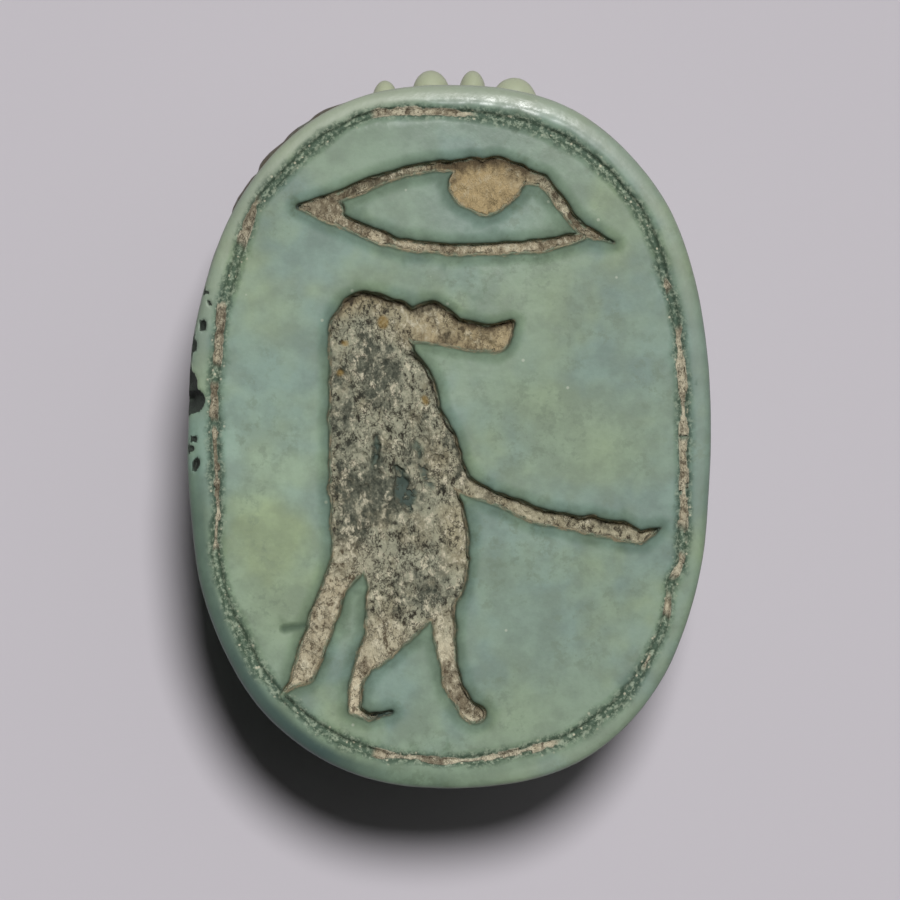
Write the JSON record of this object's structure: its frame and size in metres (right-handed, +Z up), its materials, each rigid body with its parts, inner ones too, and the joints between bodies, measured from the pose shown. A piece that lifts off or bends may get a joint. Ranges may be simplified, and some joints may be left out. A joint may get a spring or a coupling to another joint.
{
  "type": "scarab amulet",
  "caption": "Small oval amulet shaped as a beetle lying on its back, with a standing animal and an eye cut in its flat base inside a border line, and a lengthwise threading hole.",
  "frame": {"origin": "on the flat spot of the beetle's back that the amulet rests on, straight under the centre of the oval base", "axes": "+Z up, out of the carved base face; +Y along the amulet towards the beetle's head; +X across, the way the carved figure faces"},
  "size_m": [0.0122, 0.017, 0.0074],
  "materials": {
    "glazed_steatite": "worn blue-green glaze over pale carved stone, with earth left in the cuts"
  },
  "bodies": {
    "root": {"scarab": "glazed_steatite"}
  },
  "joints": []
}
